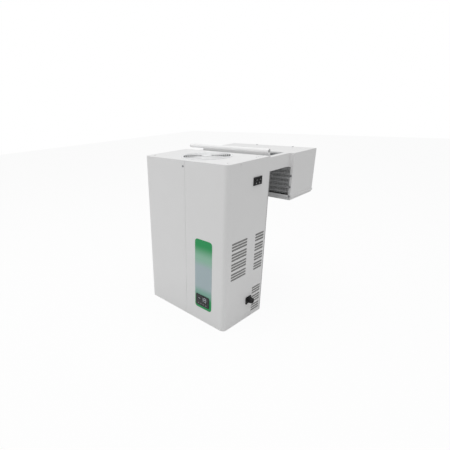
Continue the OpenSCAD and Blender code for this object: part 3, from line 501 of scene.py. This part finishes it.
for node, name, finish, slotName in foldedSheet["panels"]:
    panel = copyNode(node, name)
    if node in cornerLook["panels"]:
        tightenCorners(panel, cornerLook)
    if node in stripEnds["panels"]:
        moveStripEnd(panel, stripEnds, stripEnds["panels"][node])
    softenEdges(panel, foldedSheet["radius"])
    place(panel, finish, slotName, instead=[node])
print("panels folded")


# wire guards: round rings on spokes, over a flat rim where there is one
guardShape = dict(hubTall=2.2, hubSoft=0.0008, spokeSides=12, rimSides=96, rimTall=0.0012,
                  cut=0.01)


def makeGuard(name, look):
    shape = guardShape
    parts = []
    reach = look["outer"] - look["hub"]
    for i in range(int(reach / look["pitch"])):
        parts.append(addRing(name, (0, 0, look["rise"]), look["outer"] - look["wire"]
                             - i * look["pitch"], look["wire"]))
    hub = addRod(name, (0, 0, look["rise"]), look["hub"], shape["hubTall"] * look["wire"])
    softenEdges(hub, shape["hubSoft"])
    parts.append(hub)
    for i in range(look["spokes"]):
        spoke = addRod(name, (look["hub"] + reach / 2 - look["wire"], 0, look["wire"]),
                       look["spoke"], reach, "X", shape["spokeSides"])
        spoke.data.transform(Matrix.Rotation(2 * math.pi * i / look["spokes"], 4, "Z"))
        parts.append(spoke)
    if look["rim"]:
        rim = addRod(name, (0, 0, shape["rimTall"] / 2), look["outer"], shape["rimTall"],
                     sides=shape["rimSides"])
        cutAway(rim, addRod(name, (0, 0, 0), look["outer"] - look["rim"], shape["cut"],
                            sides=shape["rimSides"]))
        parts.append(rim)
    return joinAll(name, parts)


topGuard = dict(outer=99 * mm, hub=20 * mm, pitch=7.5 * mm, wire=1.25 * mm, spoke=1.2 * mm,
                spokes=6, rise=1.7 * mm, rim=8.4 * mm)
guardLow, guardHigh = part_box("fan_guard")
guard = makeGuard("wireGuard", topGuard)
guard.data.transform(Matrix.Translation(((guardLow.x + guardHigh.x) / 2,
                                         (guardLow.y + guardHigh.y) / 2, guardLow.z)))
place(guard, "guardWire", "wire_grey", instead=["fan_guard"])

roomGuard = dict(outer=62 * mm, hub=12 * mm, pitch=9 * mm, wire=1.2 * mm, spoke=1.2 * mm,
                 spokes=4, rise=1.7 * mm, rim=0)
for side in ("left", "right"):
    low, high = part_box("fan_grille_" + side)
    grille = makeGuard("roomGrille_" + side, roomGuard)
    grille.data.transform(Matrix.Translation(((low.x + high.x) / 2, low.y,
                                              (low.z + high.z) / 2))
                          @ Matrix.Rotation(-math.pi / 2, 4, "X"))
    place(grille, "blackPlastic", "black_plastic", instead=["fan_grille_" + side])
print("guards made")


# screws: low pan heads with a cross recess
screwLook = dict(head=4 * mm, height=1.6 * mm, soft=0.7 * mm, shank=1.9 * mm, length=5.4 * mm,
                 slotLong=4.6 * mm, slotWide=0.9 * mm, slotDeep=0.9 * mm, over=mm,
                 headSides=28, shankSides=16, turn=20, turnStep=37)


def makeScrew(look):
    head = addRod("screw", (0, 0, look["height"] / 2), look["head"], look["height"],
                  sides=look["headSides"])
    softenEdges(head, look["soft"], 3)
    for wide, tall in ((look["slotLong"], look["slotWide"]), (look["slotWide"], look["slotLong"])):
        cutAway(head, addBox("slot", (-wide / 2, -tall / 2, look["height"] - look["slotDeep"]),
                             (wide / 2, tall / 2, look["height"] + look["over"])))
    shank = addRod("shank", (0, 0, -look["length"] / 2), look["shank"], look["length"],
                   sides=look["shankSides"])
    return joinAll("screw", [head, shank])


# every solid in a screw node gives the two corners of its own box
def screwPlaces(node):
    bm = bmesh.new()
    bm.from_mesh(nodes[node].data)
    bmesh.ops.remove_doubles(bm, verts=bm.verts, dist=weld)
    seen, places = set(), []
    for vert in bm.verts:
        if vert in seen:
            continue
        island, stack = [], [vert]
        seen.add(vert)
        while stack:
            here = stack.pop()
            island.append(here.co)
            for edge in here.link_edges:
                other = edge.other_vert(here)
                if other not in seen:
                    seen.add(other)
                    stack.append(other)
        low = Vector([min(co[i] for co in island) for i in range(3)])
        high = Vector([max(co[i] for co in island) for i in range(3)])
        places.append((low, high))
    bm.free()
    return places


def placeScrews(node, name, look):
    master = makeScrew(look)
    copies, painted = [], []
    for low, high in screwPlaces(node):
        size = high - low
        axis = min(range(3), key=lambda i: size[i])
        middle = (low + high) / 2
        way = Vector((0, 0, 0))
        if axis == 2:
            way.z = 1
        elif axis == 0:
            way.x = 1 if middle.x > 0 else -1
        else:
            way.y = -1
        seat = middle.copy()
        seat[axis] = (high[axis] if way[axis] > 0 else low[axis]) - way[axis] * look["height"]
        turn = Vector((0, 0, 1)).rotation_difference(way).to_matrix().to_4x4()
        spin = Matrix.Rotation(math.radians(look["turn"] + look["turnStep"] * len(copies)), 4, "Z")
        copy = copyTo(master, name, (0, 0, 0))
        copy.data.transform(Matrix.Translation(seat) @ turn @ spin)
        bodySide = node == "cover_screws" and axis != 1  # painted over with the sheet
        (painted if bodySide else copies).append(copy)
    bpy.data.objects.remove(master)
    place(joinAll(name, copies), "screwZinc", "zinc_screw", instead=[node])
    if painted:
        place(joinAll(name + "Painted", painted), "powderCoat", "white_paint")


placeScrews("cover_screws", "bodyScrews", screwLook)
placeScrews("evaporator_screws", "evaporatorScrews", screwLook)
print("screws set")


# fine fins between the evaporator coil's main fins
evaporatorFins = dict(node="evaporator_coil", pitch=4 * mm, thick=0.5 * mm, soft=0.4,
                      left=18.8 * mm, right=3 * mm, under=0.3 * mm, over=0.3 * mm)


def fineFins(name, look):
    low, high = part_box(look["node"])
    left = low.x + look["left"]
    right = high.x - look["right"]
    fins = []
    first = addBox(name, (left, low.y, low.z + look["under"]),
                   (left + look["thick"], high.y, high.z - look["over"]))
    softenEdges(first, look["thick"] * look["soft"])
    fins.append(first)
    x = look["pitch"]
    while left + x < right:
        fins.append(copyTo(first, name, (x, 0, 0)))
        x += look["pitch"]
    return place(joinAll(name, fins), "finMetal", "fin_aluminium")


fineFins("evaporatorFins", evaporatorFins)
print("fins set")


# controller: figures behind the glass, marks on the keys
displayLook = dict(text="-18", bar=1.7 * mm, tall=17 * mm, wide=10 * mm, step=15 * mm,
                   gap=0.25 * mm, proud=0.15 * mm, soft=0.1 * mm)
figures = {"-": "g", "1": "bc", "8": "abcdefg"}


def makeFigures(look):
    low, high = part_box("controller_display")
    half, wide, bar = look["tall"] / 2, look["wide"], look["bar"]
    spots = {"a": (0, half, wide, bar), "d": (0, -half, wide, bar), "g": (0, 0, wide, bar),
             "b": (wide / 2, half / 2, bar, half), "c": (wide / 2, -half / 2, bar, half),
             "f": (-wide / 2, half / 2, bar, half), "e": (-wide / 2, -half / 2, bar, half)}
    bars = []
    for spot, figure in enumerate(look["text"]):
        middle = (low.x + high.x) / 2 + (spot - (len(look["text"]) - 1) / 2) * look["step"]
        for key in figures[figure]:
            dx, dz, w, h = spots[key]
            x, z = middle + dx, (low.z + high.z) / 2 + dz
            bars.append(addBox("figure", (x - w / 2 + look["gap"], low.y - look["proud"],
                                          z - h / 2 + look["gap"]),
                               (x + w / 2 - look["gap"], low.y + look["proud"],
                                z + h / 2 - look["gap"])))
    piece = joinAll("displayFigures", bars)
    softenEdges(piece, look["soft"])
    return place(piece, "litFigure", "key_grey")


makeFigures(displayLook)

keyLook = dict(mark=1.5 * mm, deep=0.2 * mm, soft=0.08 * mm)


# a raised triangle on each key: two point up and down, two sideways
def makeKeyMark(key, turn, look):
    low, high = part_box(key)
    deselectAll()
    bpy.ops.mesh.primitive_cylinder_add(vertices=3, radius=look["mark"], depth=2 * look["deep"],
                                        location=((low.x + high.x) / 2, low.y,
                                                  (low.z + high.z) / 2),
                                        rotation=(math.pi / 2, math.radians(turn), 0))
    mark = bpy.context.active_object
    mark.name = key + "_mark"
    settle(mark)
    softenEdges(mark, look["soft"])
    return place(mark, "whiteMark", "key_grey", body=key)


for key, turn in (("key_1", 0), ("key_2", 180), ("key_3", 90), ("key_4", 270)):
    makeKeyMark(key, turn, keyLook)
print("controller marked")


# the plain ON and OFF signs, a bar and a ring, each flat on its half of the rocker
rockerLook = dict(bar=0.9 * mm, tall=5 * mm, ring=2.1 * mm, wire=0.35 * mm, reach=6.3 * mm,
                  creaseX=218.04 * mm, creaseZ=-23 * mm, lean=24, deep=0.2 * mm, soft=0.08 * mm,
                  around=40, sides=8)


def makeRockerMarks(node, look):
    low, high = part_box(node)
    y, lean = (low.y + high.y) / 2, math.radians(look["lean"])
    bar = addBox("bar", (-look["deep"], -look["bar"] / 2, -look["tall"] / 2),
                 (look["deep"], look["bar"] / 2, look["tall"] / 2))
    softenEdges(bar, look["soft"])
    bar.data.transform(Matrix.Translation((look["creaseX"] + look["reach"] * math.sin(lean), y,
                                           look["creaseZ"] + look["reach"] * math.cos(lean)))
                       @ Matrix.Rotation(lean, 4, "Y"))
    ring = addRing("ring", (look["creaseX"], y, look["creaseZ"] - look["reach"]), look["ring"],
                   look["wire"], (0, math.pi / 2, 0), look["around"], look["sides"])
    return place(joinAll(node + "_marks", [bar, ring]), "whiteMark", "key_grey", body=node)


for node in ("rocker_left", "rocker_right"):
    makeRockerMarks(node, rockerLook)
print("rockers marked")


# light grey sheets behind the vents, painted light standing in for the lit inside seen through the
# slots: on each side a wide one in front and a tall one behind
ventLightLook = dict(gap=0.15 * mm, sheet=1.5 * mm, thick=1.2 * mm, high=-225 * mm, soft=0.3 * mm,
               lightSheets=(dict(front=-272 * mm, rear=-178 * mm, low=-400 * mm),
                     dict(front=-130 * mm, rear=-72 * mm, low=-579 * mm)))


def makeVentLightSheets(look):
    lightSheets = []
    inner = abs(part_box("right_cover")[1].x) - look["sheet"] - look["gap"]
    for name, sign in (("leftVentLight", -1), ("rightVentLight", 1)):
        xLow, xHigh = sorted((sign * inner, sign * (inner - look["thick"])))
        for mat in look["lightSheets"]:
            lightSheets.append(addBox(name, (xLow, mat["front"], mat["low"]),
                               (xHigh, mat["rear"], look["high"])))
    piece = joinAll("ventLightSheets", lightSheets)
    softenEdges(piece, look["soft"])
    return place(piece, "paintedVentLight", "foam")


makeVentLightSheets(ventLightLook)
print("vent light sheets set")


# the pan's rim stands a little proud of the cover
panRim = dict(proud=2.0 * mm, tall=9 * mm, wall=2.4 * mm, gap=0.2 * mm, soft=0.4 * mm, over=0.01,
              deep=0.03)


def makePanRim(look):
    low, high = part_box("drain_pan")
    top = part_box("evaporator_cover")[0].z
    side = look["proud"]
    rim = addBox("panRim", (low.x - side, low.y, top - look["tall"]),
                 (high.x + side, high.y + side, top - look["gap"]))
    cutAway(rim, addBox("hollow", (low.x + look["wall"], low.y - look["over"],
                                   top - look["deep"]),
                        (high.x - look["wall"], high.y - look["wall"], top + look["over"])))
    softenEdges(rim, look["soft"])
    return place(rim, "panPaint", "white_paint")


makePanRim(panRim)
print("pan rim made")


# a black strip under the row of short slots at the top's right edge, with a tongue up each slot:
# painted shade that makes the slots read dark
topSlotShade = dict(x=(186.5, 192.5), y=(-123, -69), z=(52.6, 54.3), soft=0.3 * mm)
slotShadeTongue = dict(x=(188.2, 190.8), z=(54.2, 55.9), first=-119.8, pitch=13, wide=8.6, count=4)


def makeTopSlotShade(look, tongue):
    parts = [addBox("topSlotShade", [look[a][0] * mm for a in "xyz"], [look[a][1] * mm for a in "xyz"])]
    softenEdges(parts[0], look["soft"])
    (xLow, xHigh), (zLow, zHigh) = tongue["x"], tongue["z"]
    for i in range(tongue["count"]):
        y = tongue["first"] + i * tongue["pitch"]
        parts.append(addBox("tongue", (xLow * mm, y * mm, zLow * mm),
                            (xHigh * mm, (y + tongue["wide"]) * mm, zHigh * mm)))
    return place(joinAll("topSlotShade", parts), "blackPlastic", "black_plastic")


makeTopSlotShade(topSlotShade, slotShadeTongue)
print("top slot shade set")


# cable gland: lobed nut and dome, over the CAD gland's body
glandLook = dict(lobes=8, radius=12.2 * mm, depth=1.8 * mm, start=224 * mm, end=236.6 * mm,
                 nose=5.6 * mm, y=-149 * mm, z=-509 * mm, taper=0.82, soft=0.5 * mm, cut=0.1)


def makeGlandCap(look):
    y, z = look["y"], look["z"]
    length = look["end"] - look["start"]
    cap = addRod("glandCap", (look["start"] + length / 2, y, z), look["radius"] + look["depth"] / 2,
                 length, "X", 4 * look["lobes"])
    for vert in cap.data.vertices:
        turn = math.atan2(vert.co.z - z, vert.co.y - y)
        out = math.cos(turn * look["lobes"]) * look["depth"] / 2
        reach = math.hypot(vert.co.y - y, vert.co.z - z)
        scale = (reach + out - look["depth"] / 2) / reach
        if vert.co.x > look["start"] + length / 2:
            scale *= look["taper"]
        vert.co.y = y + (vert.co.y - y) * scale
        vert.co.z = z + (vert.co.z - z) * scale
    cutAway(cap, addRod("hollow", (look["start"] + length / 2, y, z), look["nose"], look["cut"],
                        "X"))
    softenEdges(cap, look["soft"])
    return place(cap, "blackPlastic", "black_plastic")


makeGlandCap(glandLook)
print("gland capped")


# stage: pale floor, white surroundings, soft lamps (each with name, place, size and watts)
stageLook = dict(floorZ=-0.5945, floorSize=14, floorColour=(0.86, 0.86, 0.86), floorGlow=0.93,
                 floorRough=0.8, ambient=0.49, aim=(0, -0.1, -0.2), lamps=[
                     ("overhead", (0.2, -0.2, 2.4), 2.4, 43),
                     ("frontLeft", (-2.2, -2.6, 1.2), 2.2, 19),
                 ])


def makeStage(look):
    bpy.ops.object.select_all(action="DESELECT")
    bpy.ops.mesh.primitive_plane_add(size=look["floorSize"], location=(0, 0, look["floorZ"]))
    floor = bpy.context.active_object
    floor.name = "floor"
    mat = bpy.data.materials.new("floor paper")
    mat.use_nodes = True
    tree = mat.node_tree
    shader = tree.nodes["Principled BSDF"]
    shader.inputs["Base Color"].default_value = (*look["floorColour"], 1)
    shader.inputs["Roughness"].default_value = look["floorRough"]
    glow = tree.nodes.new("ShaderNodeEmission")
    glow.inputs["Strength"].default_value = 1
    ray = tree.nodes.new("ShaderNodeLightPath")
    level = tree.nodes.new("ShaderNodeMath")
    level.operation = "MULTIPLY"
    level.inputs[1].default_value = look["floorGlow"]
    tree.links.new(ray.outputs["Is Camera Ray"], level.inputs[0])
    blend = tree.nodes.new("ShaderNodeMixShader")
    tree.links.new(level.outputs["Value"], blend.inputs["Fac"])
    tree.links.new(shader.outputs["BSDF"], blend.inputs[1])
    tree.links.new(glow.outputs["Emission"], blend.inputs[2])
    tree.links.new(blend.outputs["Shader"], tree.nodes["Material Output"].inputs["Surface"])
    floor.data.materials.append(mat)

    world = bpy.data.worlds.new("studio")
    bpy.context.scene.world = world
    world.use_nodes = True
    wtree = world.node_tree
    base = wtree.nodes["Background"]
    base.inputs["Color"].default_value = (1, 1, 1, 1)
    base.inputs["Strength"].default_value = look["ambient"]
    seen = wtree.nodes.new("ShaderNodeBackground")
    seen.inputs["Color"].default_value = (1, 1, 1, 1)
    seen.inputs["Strength"].default_value = 1
    wray = wtree.nodes.new("ShaderNodeLightPath")
    wmix = wtree.nodes.new("ShaderNodeMixShader")
    wtree.links.new(wray.outputs["Is Camera Ray"], wmix.inputs["Fac"])
    wtree.links.new(base.outputs["Background"], wmix.inputs[1])
    wtree.links.new(seen.outputs["Background"], wmix.inputs[2])
    wtree.links.new(wmix.outputs["Shader"], wtree.nodes["World Output"].inputs["Surface"])

    for name, place, size, power in look["lamps"]:
        bpy.ops.object.light_add(type="AREA", location=place)
        lamp = bpy.context.active_object
        lamp.name = name
        lamp.data.size = size
        lamp.data.energy = power
        aim = Vector(look["aim"]) - Vector(place)
        lamp.rotation_euler = aim.to_track_quat("-Z", "Y").to_euler()


makeStage(stageLook)
print("stage set")


# camera at the photograph's viewing angle
cameraLook = dict(place=(0.9336, -1.2125, 0.2526), turn=(67.236, 2.841, 49.724),
                  lens=27.753, shift=(0.1556, 0.0529), sensor=36, near=0.01)
bpy.ops.object.camera_add(location=cameraLook["place"],
                          rotation=[math.radians(a) for a in cameraLook["turn"]])
camera = bpy.context.active_object
camera.data.sensor_width = cameraLook["sensor"]
camera.data.lens = cameraLook["lens"]
camera.data.shift_x, camera.data.shift_y = cameraLook["shift"]
camera.data.clip_start = cameraLook["near"]
bpy.context.scene.camera = camera
bpy.context.scene.view_settings.view_transform = "Standard"
print("camera placed")
